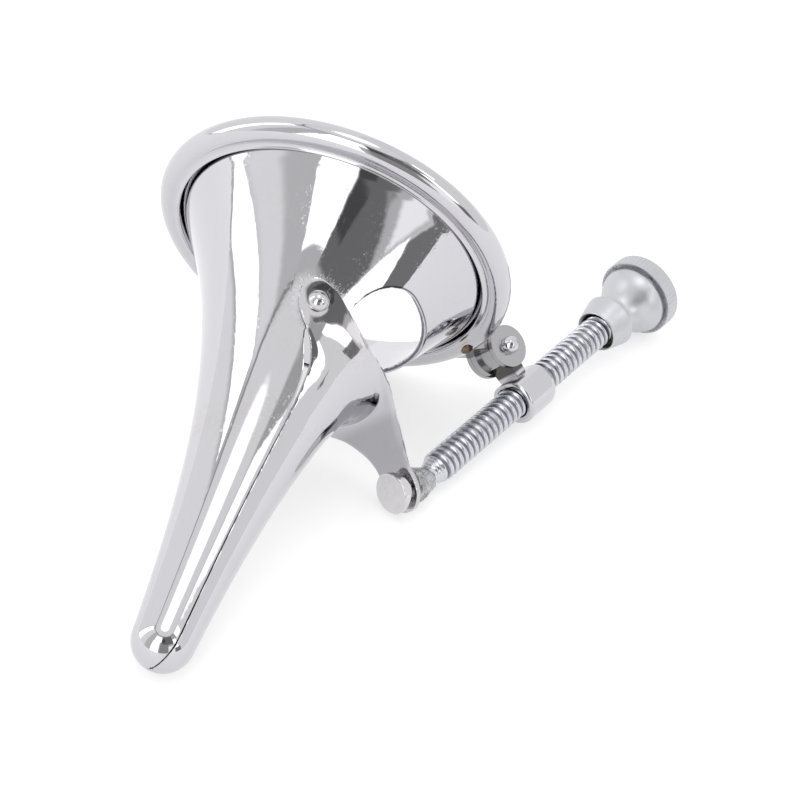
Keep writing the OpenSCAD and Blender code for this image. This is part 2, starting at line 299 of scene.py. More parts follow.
def prism(outline, low, high, soften=0.3, steps=3):  # outline across the hinge, drawn out along it
    bm = bmesh.new()
    ends = [[bm.verts.new((x, y, h)) for x, y in outline] for h in (low, high)]
    n = len(outline)
    for k in range(n):
        bm.faces.new((ends[0][k], ends[0][(k + 1) % n], ends[1][(k + 1) % n], ends[1][k]))
    caps = [bm.faces.new(ends[0][::-1]), bm.faces.new(ends[1])]
    edges = list({e for cap in caps for e in cap.edges})
    bmesh.ops.bevel(bm, geom=edges, offset=soften, segments=steps, profile=0.5, affect="EDGES")
    bm.verts.index_update()
    points = [v.co.copy() for v in bm.verts]
    faces = [[v.index for v in f.verts] for f in bm.faces]
    bm.free()
    return points, faces


def roughen(part, amount, size, seed=0.0):
    shift = Vector((seed, seed * 1.7, seed * 0.3))
    return [p + noise.noise_vector(p / size + shift) * amount for p in part[0]], part[1]


def arc(centre, radius, start, end, steps):
    return [(centre[0] + radius * cos(radians(start + (end - start) * k / steps)),
             centre[1] + radius * sin(radians(start + (end - start) * k / steps))) for k in range(steps + 1)]


print("finishes")
# the window's cut colour is a painted dark reflection along the edge of the side window
chromeLook = dict(color=(0.572, 0.566, 0.592), roughness=0.035, scratchDulling=0.22, filmDulling=0.25,
                  ringDulling=0.33, paintedCutReflection=(0.13, 0.13, 0.16), depth=0.000022)
# places along and away from the screw's axis, in metres
nickelLook = dict(color=(0.555, 0.56, 0.585), stainColor=(0.46, 0.45, 0.43), turning=5200.0, slant=0.7,
                  boreColor=(0.16, 0.135, 0.10), boreAway=(0.0042, 0.0035), boreAlong=(0.030, 0.0275),
                  knurlShadeColor=(0.09, 0.09, 0.10), knurlShadeAway=(0.0076, 0.0074),
                  knurlShadeAlong=(0.0414, 0.0417, 0.0445, 0.0441), roughness=0.27, turnedRoughness=0.12, grain=0.65,
                  turnedHeight=0.30, depth=0.00003)
steelLook = dict(crestColor=(0.62, 0.63, 0.665), grooveShadeColor=(0.20, 0.21, 0.25),
                 stainColor=(0.36, 0.36, 0.38), crestAway=(0.00272, 0.00312),
                 shankAlong=(-0.0299, -0.0303), roughness=0.34, crestPolish=-0.14,
                 grain=2600.0, depth=0.000012)
stainRoughness = 0.2


def polishTree():  # wavy hand polish with hair scratches and a few pits
    tree, given, made = groupTree(
        "handPolish", "Shader", {"Place": "Vector", "Waviness": 1.0, "Scratches": 1.0, "Pits": 1.0},
        {"Height": "Float", "Dulling": "Float"})
    wave = texNoise(tree, given["Place"], 190.0, 2.0)
    height = times(tree, wave, given["Waviness"])
    dulling = None
    for turn, stretch, edge in (((0.3, 0.9, 0.2), (90, 2600, 2600), 0.66),
                                ((1.1, 0.2, 1.9), (70, 3100, 3100), 0.67),
                                ((2.0, 1.4, 0.6), (160, 2200, 2200), 0.68)):
        moved = formNode(tree, "ShaderNodeMapping", {
            "Vector": given["Place"], "Rotation": turn, "Scale": stretch})
        hair = texNoise(tree, moved.outputs[0], 1.0, 1.0)
        line = eased(tree, hair, edge, edge + 0.06)
        dulling = line if dulling is None else maths(tree, "MAXIMUM", dulling, line)
    patchy = texNoise(tree, given["Place"], 110.0, 2.0)
    dulling = times(tree, dulling, eased(tree, patchy, 0.42, 0.7))
    dulling = times(tree, dulling, given["Scratches"])
    height = minus(tree, height, times(tree, dulling, 0.12))
    pits = formNode(tree, "ShaderNodeTexVoronoi", {
        "Vector": given["Place"], "Scale": 520.0, "Randomness": 1.0})
    dot = times(tree, eased(tree, pits.outputs["Distance"], 0.16, 0.05),
                eased(tree, maths(tree, "FRACT", times(tree, pits.outputs["Color"], 7.0)), 0.9, 0.95))
    dot = times(tree, dot, given["Pits"])
    plug(tree, minus(tree, height, times(tree, dot, 0.6)), made["Height"])
    plug(tree, maths(tree, "MAXIMUM", dulling, dot), made["Dulling"])
    return tree


def rubbedTree():  # spiky ring of rubbing marks round a point
    tree, given, made = groupTree(
        "rubbedRing", "Shader", {"Place": "Vector", "Centre": "Vector", "Inner": 0.003, "Outer": 0.007},
        {"Mask": "Float"})
    away = vectors(tree, "SUBTRACT", given["Place"], given["Centre"])
    length = vectors(tree, "LENGTH", away)
    spikes = texNoise(tree, vectors(tree, "NORMALIZE", away), 26.0, 3.0)
    reach = timesPlus(tree, minus(tree, spikes, 0.5), 0.006, given["Outer"])
    innerTo = maths(tree, "ADD", given["Inner"], 0.0004)
    plug(tree, band(tree, length, given["Inner"], innerTo, reach, minus(tree, reach, 0.0022)), made["Mask"])
    return tree


def filmTree():  # uneven film of handling and old polish
    tree, given, made = groupTree(
        "oldFilm", "Shader", {"Place": "Vector", "Size": 60.0, "Amount": 0.5}, {"Mask": "Float"})
    broad = texNoise(tree, given["Place"], given["Size"], 4.0)
    fine = texNoise(tree, given["Place"], 900.0, 2.0)
    mask = times(tree, eased(tree, broad, 0.45, 0.72),
                 eased(tree, fine, 0.3, 0.6))
    plug(tree, times(tree, mask, given["Amount"]), made["Mask"])
    return tree


handPolish, rubbedRing, oldFilm = polishTree(), rubbedTree(), filmTree()


def windowLineTree():  # painted dark reflection line round the cut of the side window
    tree, given, made = groupTree(
        "windowLine", "Shader",
        {"Place": "Vector", "Window Start": 0.014, "Corner": 0.011, "Line Width": 0.0003}, {"Line": "Float"})
    x, y = splitPlace(tree, given["Place"])[:2]
    across = minus(tree, maths(tree, "ADD", given["Window Start"], given["Corner"]), x)
    down = maths(tree, "MAXIMUM", minus(tree, given["Corner"], y), 0.0)
    reach = maths(tree, "SQRT", maths(tree, "ADD", times(tree, across, across), times(tree, down, down)))
    edge = minus(tree, reach, given["Corner"])
    fadeEnd = maths(tree, "ADD", given["Line Width"], 0.0002)
    line = band(tree, edge, 0.0001, 0.0002, fadeEnd, given["Line Width"])
    plug(tree, times(tree, line, eased(tree, y, 0.0, 0.001)), made["Line"])
    return tree


windowLine = windowLineTree()


def placed(tree, group, values):
    node = tree.nodes.new("ShaderNodeGroup")
    node.node_tree = group
    for key, value in values.items():
        plug(tree, value, node.inputs[key])
    return node.outputs


def startMaterial(name, metallic=1.0):
    mat = bpy.data.materials.new(name)
    mat.use_nodes = True
    tree = mat.node_tree
    shader = tree.nodes["Principled BSDF"]
    shader.inputs["Metallic"].default_value = metallic
    return mat, tree, shader, tree.nodes.new("ShaderNodeTexCoord").outputs["Object"]


def tinted(tree, mask, clean, worn):
    mix = formNode(tree, "ShaderNodeMix", {0: mask}, data_type="RGBA")
    plug(tree, (*clean, 1) if isinstance(clean, tuple) else clean, mix.inputs[6])
    plug(tree, (*worn, 1), mix.inputs[7])
    return mix.outputs[2]


def paint(tree, shader, color, rough, height, depth):
    plug(tree, color, shader.inputs["Base Color"])
    plug(tree, rough, shader.inputs["Roughness"])
    bump = formNode(tree, "ShaderNodeBump", {"Height": height, "Distance": depth, "Strength": 1.0})
    tree.links.new(bump.outputs[0], shader.inputs["Normal"])


def inFrame(tree, place, frameOf):  # object place read in a frame given in the millimetre axes
    into = (layDown @ frameOf).inverted()
    turn = into.to_3x3() * 0.001
    mapping = formNode(tree, "ShaderNodeMapping", {"Vector": place})
    mapping.inputs["Rotation"].default_value = turn.to_euler("XYZ")
    mapping.inputs["Location"].default_value = into.translation * 0.001
    return mapping.outputs[0]


def chromeFinish(name, color=None, roughness=None, waviness=1.0, scratches=1.0, pits=0.6, film=0.25,
                 warm=(0.45, 0.40, 0.35), halos=(), greyed=None, windowed=False):
    mat, tree, shader, place = startMaterial(name)
    w = chromeLook
    color, roughness = color or w["color"], roughness or w["roughness"]
    polish = placed(tree, handPolish, {
        "Place": place, "Waviness": waviness, "Scratches": scratches, "Pits": pits})
    stain = placed(tree, oldFilm, {"Place": place, "Amount": film})["Mask"]
    dull = times(tree, polish["Dulling"], w["scratchDulling"])
    dull = maths(tree, "ADD", dull, times(tree, stain, w["filmDulling"]))
    for centre, inner, outer in halos:
        halo = placed(tree, rubbedRing, {
            "Place": place, "Centre": centre, "Inner": inner, "Outer": outer})["Mask"]
        dull = maths(tree, "MAXIMUM", dull, times(tree, halo, w["ringDulling"]))
    shade = tinted(tree, stain, color, warm)
    if greyed:  # a stretch that mirrors something darker
        height = splitPlace(tree, inFrame(tree, place, greyed["frame"]))[2]
        low, high = (eased(tree, height, *greyed[key]) for key in ("starts", "stops"))
        shade = tinted(tree, minus(tree, low, high), shade, greyed["color"])
    if windowed:
        # painted dark reflection along the cut edge of the side window
        cut = placed(tree, windowLine, {"Place": inFrame(tree, place, Matrix.Identity(4))})
        shade = tinted(tree, cut["Line"], shade, w["paintedCutReflection"])
    paint(tree, shader, shade, maths(tree, "ADD", dull, roughness), polish["Height"], w["depth"])
    return mat


def aroundAxis(tree, place):
    split = formNode(tree, "ShaderNodeSeparateXYZ", {0: place})
    flat = formNode(tree, "ShaderNodeCombineXYZ", {0: split.outputs[0], 1: split.outputs[1]})
    return split.outputs[2], vectors(tree, "LENGTH", flat.outputs[0])


def nickelFinish(name):
    w = nickelLook
    mat, tree, shader, place = startMaterial(name)
    along, away = aroundAxis(tree, inFrame(tree, place, screwFrame))
    spiral = maths(tree, "ADD", along, times(tree, away, w["slant"]))
    turned = formNode(tree, "ShaderNodeTexNoise", {"W": spiral, "Scale": w["turning"], "Detail": 3.0},
                      noise_dimensions="1D").outputs["Fac"]
    polish = placed(tree, handPolish, {"Place": place, "Waviness": 0.3, "Scratches": 0.6, "Pits": 0.7})
    stain = placed(tree, oldFilm, {"Place": place, "Size": 260.0, "Amount": 0.25})["Mask"]
    bore = times(tree, eased(tree, away, *w["boreAway"]), eased(tree, along, *w["boreAlong"]))
    # painted shade in the valleys between the knurl ridges on the flange
    gap = times(tree, eased(tree, away, *w["knurlShadeAway"]), band(tree, along, *w["knurlShadeAlong"]))
    color = tinted(tree, gap, tinted(tree, stain, w["color"], w["stainColor"]), w["knurlShadeColor"])
    rough = timesPlus(tree, turned, w["turnedRoughness"], w["roughness"])
    rough = maths(tree, "ADD", rough, times(tree, stain, stainRoughness))
    height = timesPlus(tree, turned, w["turnedHeight"], polish["Height"])
    paint(tree, shader, tinted(tree, bore, color, w["boreColor"]), rough, height, w["depth"])
    off = vectors(tree, "SUBTRACT", place, layDown @ screwFoot)
    grain = vectors(tree, "CROSS_PRODUCT", off, layDown.to_3x3() @ screwDir * 1000)
    tree.links.new(vectors(tree, "NORMALIZE", grain), shader.inputs["Tangent"])
    shader.inputs["Anisotropic"].default_value = w["grain"]
    return mat


def steelFinish(name):
    w = steelLook
    mat, tree, shader, place = startMaterial(name)
    along, away = aroundAxis(tree, inFrame(tree, place, screwFrame))
    stain = placed(tree, oldFilm, {"Place": place, "Size": 300.0, "Amount": 0.7})["Mask"]
    # painted shade in the thread grooves: darker from the crest down to the root
    crest = eased(tree, away, *w["crestAway"])
    crest = maths(tree, "MAXIMUM", crest, eased(tree, along, *w["shankAlong"]))
    color = tinted(tree, crest, w["grooveShadeColor"], w["crestColor"])
    rough = timesPlus(tree, crest, w["crestPolish"], w["roughness"])
    rough = timesPlus(tree, stain, stainRoughness, rough)
    grain = texNoise(tree, place, w["grain"], 3.0)
    paint(tree, shader, tinted(tree, stain, color, w["stainColor"]), rough, grain, w["depth"])
    return mat


def castFinish(name, dark, light, metallic, roughness, depth):
    mat, tree, shader, place = startMaterial(name, metallic)
    lumps = formNode(tree, "ShaderNodeTexNoise", {
        "Vector": place, "Scale": 2400.0, "Detail": 3.0, "Roughness": 0.6}).outputs["Fac"]
    patch = texNoise(tree, place, 420.0, 2.0)
    mask = eased(tree, patch, 0.38, 0.62)
    rough = timesPlus(tree, lumps, 0.35, roughness - 0.17)
    paint(tree, shader, tinted(tree, mask, dark, light), rough, lumps, depth)
    return mat


earRadius = float(radiusAt(hinge["along"])) + earOffset
earRise = sqrt(earRadius ** 2 - hinge["drop"] ** 2)
earPoints = [Vector((hinge["along"], -hinge["drop"], side * earRise)) for side in (1, -1)]
halos = [(layDown @ p, 0.0005, 0.0062) for p in earPoints]
funnelChrome = chromeFinish("polishedFunnel", waviness=1.0, film=0.14, halos=halos, windowed=True)
bladeChrome = chromeFinish("polishedBlade", waviness=1.2, scratches=1.2, film=0.2,
                           greyed=dict(frame=standAt((0, 0, 0), (0, 1, 0)), starts=(0.0193, 0.0225),
                                       stops=(0.0302, 0.0312), color=(0.43, 0.43, 0.455)))
rivetChrome = chromeFinish("polishedRivet", waviness=0.7, film=0.3, roughness=0.05)
plateChrome = chromeFinish("bracketPlate", color=(0.42, 0.415, 0.425), roughness=0.2, waviness=0.8,
                           scratches=1.5, pits=1.2, film=0.5, warm=(0.38, 0.35, 0.32))
sleeveChrome = chromeFinish("sleevePlate", roughness=0.13, waviness=1.5, scratches=1.4, film=0.4,
                            greyed=dict(frame=standAt(screwFoot, toPivot), starts=(0.0045, 0.0051),
                                        stops=(0.02, 0.03), color=(0.10, 0.095, 0.09)))
buttonChrome = chromeFinish("buttonPlate", color=(0.65, 0.64, 0.65), roughness=0.12, waviness=1.2,
                            film=0.3, warm=(0.50, 0.49, 0.47))
nickel = nickelFinish("satinNickel")
steel = steelFinish("screwSteel")
castGrey = castFinish("roughFoot", (0.34, 0.34, 0.35), (0.60, 0.60, 0.62), 1.0, 0.25, 0.0004)
solder = castFinish("burntSolder", (0.035, 0.022, 0.014), (0.30, 0.20, 0.11), 0.6, 0.42, 0.00012)


print("fixed valve")
shellWork = dict(windowSide=70, below=130, curlRows=44, ringRows=16, cornerRows=26, seamRows=74, noseRows=14,
                 curlStart=210.4, curlEnd=508, ringStart=3, edge=0.36, fillet=1.3, filletSteps=10,
                 filletSink=0.3, noseLap=0.37, noseFrom=0.04, noseSpan=0.925, crowding=0.6,
                 dip=[(0, 0), (0.1, 1), (1, 2.2), (2.2, 3.9), (4, 5.2), (6, 5.3), (8, 4.4), (10, 3.2),
                      (12, 2.1), (14, 1.4), (16, 0.95), (18, 0.6), (21, 0.3), (25, 0.15), (80, 0.15)])


def bentRound(tree, geometry, axis, along, radius, angle):
    spot = formNode(tree, "ShaderNodeCombineXYZ", {
        axis: along, (axis + 1) % 3: times(tree, radius, maths(tree, "COSINE", angle)),
        (axis + 2) % 3: times(tree, radius, maths(tree, "SINE", angle))})
    return formNode(tree, "GeometryNodeSetPosition", {
        "Geometry": geometry, "Position": spot.outputs[0]}).outputs[0]


def flareTree():  # bends a flat pattern (along, angle, height over the flare) into the trumpet shape
    tree, given, made = groupTree(
        "trumpetFlare", "Geometry",
        {"Pattern": "Geometry", "Slim Radius": 3.65, "Rise": 28.55, "Fade Length": 37.2,
         "Finish": "Material"}, {"Trumpet": "Geometry"})
    along, angle, height = splitPlace(tree, tree.nodes.new("GeometryNodeInputPosition").outputs[0])
    decay = maths(tree, "EXPONENT", maths(tree, "DIVIDE", times(tree, along, -1.0), given["Fade Length"]))
    flare = timesPlus(tree, decay, given["Rise"], given["Slim Radius"])
    bent = bentRound(tree, given["Pattern"], 0, along, maths(tree, "ADD", flare, height), angle)
    finishTree(tree, bent, given["Finish"], made["Trumpet"])
    return tree


trumpetFlare = flareTree()


def patternPoint(s, r, a):
    return s, a, r - float(radiusAt(s))


def patternFrom(p):
    return patternPoint(p[0], hypot(p[1], p[2]), atan2(p[2], p[1]))


def flared(obj, material):
    return runTree(obj, trumpetFlare, {"Slim Radius": funnel["slim"], "Rise": funnel["rise"],
                                       "Fade Length": funnel["fade"], "Finish": material})


def thicken(obj, thickness):
    solid = obj.modifiers.new("sheet", "SOLIDIFY")
    solid.thickness, solid.offset, solid.use_even_offset = thickness, -1, True
    return bakeModifiers(obj)


def softEdges(obj, width, segments=3):
    edge = obj.modifiers.new("edges", "BEVEL")
    edge.width, edge.segments, edge.limit_method = width, segments, "ANGLE"
    edge.angle_limit = radians(50)
    edge.harden_normals = True
    return bakeModifiers(obj)


def beadFillet():  # hollow corner between the rolled bead and the outside of the flare
    size = shellWork["fillet"]
    reach = funnel["beadRadius"] + size
    turns = np.radians(np.linspace(95, 150, 2000))
    s, r = reach * np.sin(turns), beadCentre + reach * np.cos(turns)
    steep = np.sqrt(1 + slopeAt(s) ** 2)
    k = int(np.argmin(np.abs((r - radiusAt(s)) / steep - funnel["sheet"] - size)))
    centre = np.array([float(r[k]), float(s[k])])
    toWall = atan2(float(slopeAt(s[k])), -1.0)
    toBead = atan2(-centre[1], beadCentre - centre[0])
    ends = [toWall, toBead]
    sweep = (ends[1] - ends[0] + pi) % (2 * pi) - pi
    steps = shellWork["filletSteps"]
    turned = [ends[0] + sweep * q / steps for q in range(steps + 1)]
    curve = [tuple(centre + size * np.array([cos(t), sin(t)])) for t in turned]
    sunk = [tuple(centre + (size + shellWork["filletSink"]) * np.array([cos(t), sin(t)])) for t in ends]
    profile = [sunk[0]] + curve + [sunk[1], sunk[0]]
    return lathe(profile, standAt((0, 0, 0), (1, 0, 0)), 360)


def fixedValve():
    w, f = shellWork, funnel
    inner = f["beadRadius"] - f["sheet"]
    corner = acos(f["windowCorner"] / float(radiusAt(f["windowStart"])))
    low = [k / w["below"] for k in range(w["below"] + 1)]
    angles = [corner + (2 * pi - 2 * corner) * q for q in low][:-1] + \
        [2 * pi - corner + 2 * corner * k / w["windowSide"] for k in range(w["windowSide"])]
    cols = len(angles)
    profile = []
    for i in range(w["curlRows"] + 1):
        t = radians(w["curlEnd"] - (w["curlEnd"] - w["curlStart"]) * i / w["curlRows"])
        profile.append((beadCentre + inner * cos(t), inner * sin(t)))
    for i in range(w["ringRows"]):
        s = w["ringStart"] + (f["windowStart"] - w["ringStart"]) * i / (w["ringRows"] - 1)
        profile.append((float(radiusAt(s)), s))
    points = [patternPoint(s, r, a) for r, s in profile for a in angles]
    faces = gridFaces(len(profile), cols, closed=True)
    previous = [(len(profile) - 1) * cols + k for k in range(w["below"] + 1)]
    rows = []
    for i in range(1, w["cornerRows"] + 1):
        t = pi / 2 * i / w["cornerRows"]
        rows.append((f["windowStart"] + f["windowCorner"] * (1 - cos(t)), f["windowCorner"] * (1 - sin(t))))
    turn = f["windowStart"] + f["windowCorner"]
    tail = noseCentre + w["noseLap"]
    for i in range(1, w["seamRows"] + 1):
        q = i / w["seamRows"]
        s = turn + (tail - turn) * (q * (1 - w["crowding"]) + q * q * w["crowding"])
        rows.append((s, -float(np.interp(s - turn, *zip(*w["dip"])))))
    rows = [(float(radiusAt(s)), s, h) for s, h in rows]
    for i in range(1, w["noseRows"] + 1):
        t = pi / 2 * (w["noseFrom"] + w["noseSpan"] * i / w["noseRows"])
        rows.append((f["noseRadius"] * cos(t), noseCentre + f["noseRadius"] * sin(t), -f["halfGap"]))
    for r, s, h in rows:
        edge = acos(max(-0.95, min(0.95, h / r)))
        now = [len(points) + k for k in range(len(low))]
        points += [patternPoint(s, r, edge + (2 * pi - 2 * edge) * q) for q in low]
        faces += [(previous[k], now[k], now[k + 1], previous[k + 1]) for k in range(len(low) - 1)]
        previous = now
    obj = rawObject("fixedValve", points, [f[::-1] for f in faces])
    obj = softEdges(thicken(flared(obj, funnelChrome), f["sheet"]), w["edge"])
    addPart(obj, outwardPart(beadFillet()))
    return finished(obj, "bell", ["fixed_valve"], funnelChrome)


fixedValve()

print("upper valve")
# each row: middle along, middle height over the flare, edge along, edge height, half angle
saddle = dict(neck=[
    [46, 0.0, 46, 0.1, 89.7], [41.5, 0.0, 40, 0.7, 92.6], [38.5, 0.11, 35.5, 1.25, 97.5],
    [36.0, 0.2, 31.5, earOffset, 108], [34.0, 0.5, 27.6, earOffset, 119.5],
    [32.6, 0.865, 24.4, earOffset, 121], [31.5, 1.41, 22.4, earOffset + 0.1, 115],
    [30.6, 2.01, 23.0, earOffset + 0.35, 105],
    [30.0, 2.7, 25.2, earOffset + 0.5, 92], [29.7, 3.3, 27.0, 2.13, 77]],
    # share of the way from the root to the eye, bow from that line, both again at the edge, half angle
    tongue=[[0.067, -0.56, -0.007, -1.65, 62], [0.164, -1.03, 0.052, -1.36, 47.3],
            [0.291, -1.41, 0.164, -1.53, 34], [0.44, -1.64, 0.306, -1.91, 21.5],
            [0.575, -1.37, 0.522, -1.9, 13.5], [0.716, -0.94, 0.687, -1.24, 9.4],
            [0.858, -0.22, 0.843, -0.42, 7.9], [1, 0.46, 1, 0.4, 7.4]],
    across=120, rowsBlade=40, rowsSaddle=170, rowsNose=14, eyeRadius=4.6, eyeTurn=48.5, eyeRows=30,
    slotHalf=2.75, slotWidth=3.25, dishRadius=2.9, dishDepth=0.38, edge=0.34)


def flatAngle(r):
    return degrees(acos(min(0.9, funnel["halfGap"] / r)))


def saddleRows():
    out = []
    for s in (noseCentre + 0.366, 80, 66, 54):
        out.append([s, 0, s, 0, flatAngle(float(radiusAt(s)))])
    out += saddle["neck"]
    rootAlong = saddle["neck"][-1][0]
    rootUp = float(radiusAt(rootAlong)) + saddle["neck"][-1][1]
    for share, bow, edgeShare, edgeBow, angle in saddle["tongue"]:
        row = []
        for t, b in ((share, bow), (edgeShare, edgeBow)):
            s = rootAlong + t * (eye.x - rootAlong) + b
            row += [s, rootUp + t * (eye.y - 0.25 - rootUp) - float(radiusAt(s))]
        out.append(row + [angle])
    return np.array(out, float)


saddleTable = saddleRows()


def saddlePoint(v, j):
    if v < 0:
        b = radians(3.56 * (1 + v) - 86.5 * v)
        r = funnel["noseRadius"] * cos(b)
        return noseCentre + funnel["noseRadius"] * sin(b), r, radians(flatAngle(r)) * j
    last = len(saddleTable) - 1
    i = min(last - 1, int(floor(v)))
    x = v - i
    a, b, c, d = (saddleTable[min(max(i + k, 0), last)] for k in (-1, 0, 1, 2))
    q = 0.5 * (2 * b + (c - a) * x + (2 * a - 5 * b + 4 * c - d) * x * x + (3 * b - a - 3 * c + d) * x ** 3)
    w = abs(j)
    s = q[0] + (q[2] - q[0]) * w ** 3.4
    r = float(radiusAt(s)) + q[1] + (q[3] - q[1]) * w * w * (1.8 - 0.8 * w * w)
    return s, r, radians(q[4]) * j


def dished(s, r, a):  # shallow dish hammered round each hinge rivet
    p = Vector((s, r * cos(a), r * sin(a)))
    away = (p - earPoints[0 if p.z > 0 else 1]).length / saddle["dishRadius"]
    return s, r - saddle["dishDepth"] * max(0.0, 1 - away * away) ** 1.5, a


def upperValve():
    w = saddle
    js = [2 * k / w["across"] - 1 for k in range(w["across"] + 1)]
    last = len(saddleTable) - 2
    vs = [*np.linspace(-1, -0.07, w["rowsNose"]), *np.linspace(0, 4, w["rowsBlade"], endpoint=False),
          *np.linspace(4, last, w["rowsSaddle"])]
    points = [patternPoint(*dished(*saddlePoint(v, j))) for v in vs for j in js]
    turn = radians(w["eyeTurn"])
    along, outside = Vector((cos(turn), sin(turn), 0)), Vector((sin(turn), -cos(turn), 0))
    rows = len(vs)
    for k in range(1, w["eyeRows"] + 1):
        t = -2.25 + (w["eyeRadius"] + 2.25) * (1 - (1 - k / w["eyeRows"]) ** 1.6)
        half = w["eyeRadius"] - 0.31 * (t / 2.4) ** 2
        if t > 0:
            half = sqrt(max(w["eyeRadius"] ** 2 - t * t, 0.003))
        points += [patternFrom(eye + outside * 0.5 + along * t + alongHinge * half * j) for j in js]
        rows += 1
    obj = rawObject("upperValve", points, gridFaces(rows, len(js)))
    obj = thicken(flared(obj, bladeChrome), funnel["sheet"])
    reach, side = w["slotHalf"] - w["slotWidth"] / 2, w["slotWidth"] / 2
    stadium = arc((reach, 0), side, -90, 90, 16) + arc((-reach, 0), side, 90, 270, 16)
    cutter = rawObject("slotCutter", *prism(stadium, -3, 3, 0.01, 1))
    axes = Matrix((along, alongHinge, outside)).transposed()
    cutter.data.transform(Matrix.Translation(eye) @ axes.to_4x4())
    cutter = outward(cutter)
    hole = obj.modifiers.new("slot", "BOOLEAN")
    hole.object, hole.operation, hole.solver = cutter, "DIFFERENCE", "EXACT"
    obj = bakeModifiers(obj)
    bpy.data.objects.remove(cutter)
    return finished(softEdges(obj, w["edge"]), "upper_valve", ["movable_valve"], bladeChrome)


upperValve()

print("hinge rivets")
hingeRivet = dict(shank=1.05, sink=0.75, around=64)
earLean = atan(-float(slopeAt(hinge["along"])))
earRoll = asin(hinge["drop"] / earRadius)
for side, label in ((1, "Near"), (-1, "Far")):
    outOfEar = Vector((sin(earLean), -cos(earLean) * sin(earRoll), side * cos(earLean) * cos(earRoll)))
    base = earPoints[0 if side > 0 else 1]
    dome = [(0.0, -1.4), (hingeRivet["shank"], -1.4), (hingeRivet["shank"], -0.6)]
    dome += [(hinge["headRadius"] * cos(radians(t)),
              hinge["headRadius"] * sin(radians(t)) - hingeRivet["sink"]) for t in range(6, 91, 4)]
    part = lathe(dome, standAt(base, outOfEar), hingeRivet["around"])
    obj = outward(rawObject("hingeRivet" + label, *part), 1e-5)
    finished(obj, "upper_valve", ["hinge_rivet_" + label.lower()], rivetChrome)

print("bracket")
bracket = dict(half=4.0, cheek=1.1, nearRadius=4.35, farRadius=4.6, farThick=2.53, barrel=3.75, slot=2.9,
               soften=0.32, dome=1.78, domeLift=0.45, shank=1.2)


def forkOutline(radius):  # open ring round the slot that lets the sleeve's lug in
    return arc(screw["pivot"], radius, 158, 382, 48) + arc(screw["pivot"], bracket["slot"], 372, 168, 40)


def rimBracket():
    b = bracket
    foot = [(-0.9, pivot.y - 3), (1.3, beadCentre + 2.1), (0.6, beadCentre + 1.4), (-2.2, beadCentre + 1.2),
            (-2.5, beadCentre + 1.1), (-6.2, pivot.y - 3.2)]
    disc = arc(screw["pivot"], b["nearRadius"], 0, 356.25, 95)
    farDisc = arc(screw["pivot"], b["farRadius"], 0, 356.25, 95)
    part = gather(prism(disc, b["half"] - b["cheek"], b["half"], b["soften"]),
                  prism(farDisc, -b["half"], -b["half"] + b["cheek"] + 0.02, b["soften"]),
                  prism(forkOutline(b["farRadius"] - 0.02), -b["half"] + b["cheek"] - 0.3,
                        -b["half"] + b["farThick"], 0.2),
                  prism(forkOutline(b["barrel"]), -b["half"] + 0.6, b["half"] - 0.4, 0.1),
                  prism(foot, -b["half"] + 0.5, b["half"] - b["cheek"] - 0.1, 0.25))
    obj = outward(rawObject("rimBracket", *roughen(part, 0.02, 2.6, 3.0)))
    return finished(obj, "bell", ["rim_bracket"], plateChrome, flats=True)


def bracketRivet():
    b = bracket
    lift = b["half"] + b["domeLift"]
    dome = [(b["dome"] * cos(radians(t)), lift + b["dome"] * sin(radians(t))) for t in range(-28, 91, 4)]
    low = [(b["dome"] * cos(radians(t)), -lift + b["dome"] * sin(radians(t))) for t in range(-90, 29, 4)]
    part = lathe(low + [(b["shank"], 0.2 - b["half"]), (b["shank"], b["half"] - 0.2)] + dome,
                 standAt(pivot, alongHinge), 56)
    obj = outward(rawObject("bracketRivet", *roughen(part, 0.09, 0.9, 5.0)), 1e-5)
    return finished(obj, "bell", ["bracket_rivet"], rivetChrome)


solderPatch = dict(rows=26, cols=22, around=4.5, aroundHalf=2.4, turn=76, turnHalf=15, skew=5,
                   sunk=-0.12, proud=0.22, thick=0.35)


def burntSolder():  # thin run of solder left on the bead beside the bracket
    w, points = solderPatch, []
    for i in range(w["rows"]):
        for k in range(w["cols"]):
            x, y = 2 * i / (w["rows"] - 1) - 1, 2 * k / (w["cols"] - 1) - 1
            bumps = noise.noise(Vector((x * 2.4, y * 2.4, 1.7)))
            crest = max(0.0, 1 - (x * x + y * y)) ** 0.5 - 0.25 + 0.5 * bumps
            around = radians(w["around"] + w["aroundHalf"] * x)
            turn = radians(w["turn"] + w["turnHalf"] * y + w["skew"] * x)
            r = funnel["beadRadius"] + max(w["sunk"], min(w["proud"], 0.35 * crest))
            out = beadCentre + r * cos(turn)
            points.append(Vector((r * sin(turn), out * cos(around), out * sin(around))))
    obj = outward(thicken(rawObject("burntSolder", points, gridFaces(w["rows"], w["cols"])), -w["thick"]))
    return finished(obj, "bell", ["bracket_braze"], solder)


rimBracket()
bracketRivet()
burntSolder()

print("swivel sleeve")
sleeve = dict(radius=4.9, flat=4.3, start=-4.0, end=5.2, bore=3.42, lugRadius=2.65, lugHalf=2.8,
              waistHalf=1.43, startRound=(0.8, 0.6), endRound=(1.35, 1.9), endSteps=8, around=120)


